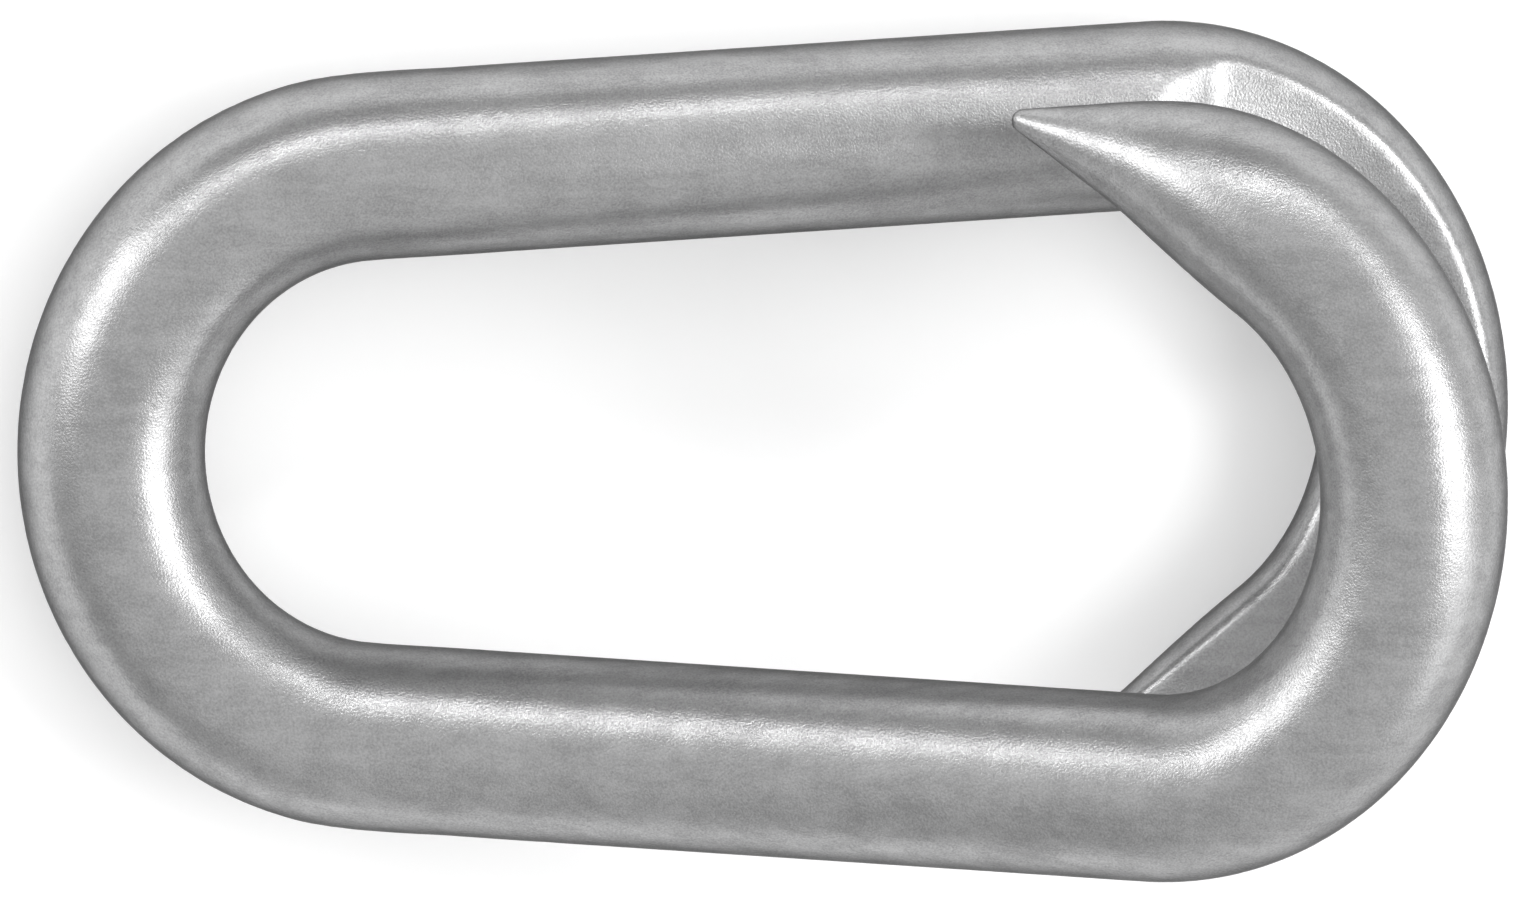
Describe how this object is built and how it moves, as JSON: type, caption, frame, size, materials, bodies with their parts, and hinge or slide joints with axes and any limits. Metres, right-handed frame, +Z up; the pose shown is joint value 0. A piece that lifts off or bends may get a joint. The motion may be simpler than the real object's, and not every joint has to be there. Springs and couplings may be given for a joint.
{
  "type": "chain lap link",
  "caption": "Open connecting link bent from round steel bar; pointed, flattened legs lap past each other and are hammered shut to join chain.",
  "frame": {"origin": "on the ground, under the middle of the bounding box of the link as it lies", "axes": "+X from the closed end towards the lapped end, +Y across the link, +Z up from the ground it lies on"},
  "size_m": [0.0645, 0.0346, 0.0293],
  "materials": {
    "zinc_steel": "satin grey zinc coat with a fine grain"
  },
  "bodies": {
    "root": {"lap_link": "zinc_steel"}
  },
  "joints": []
}
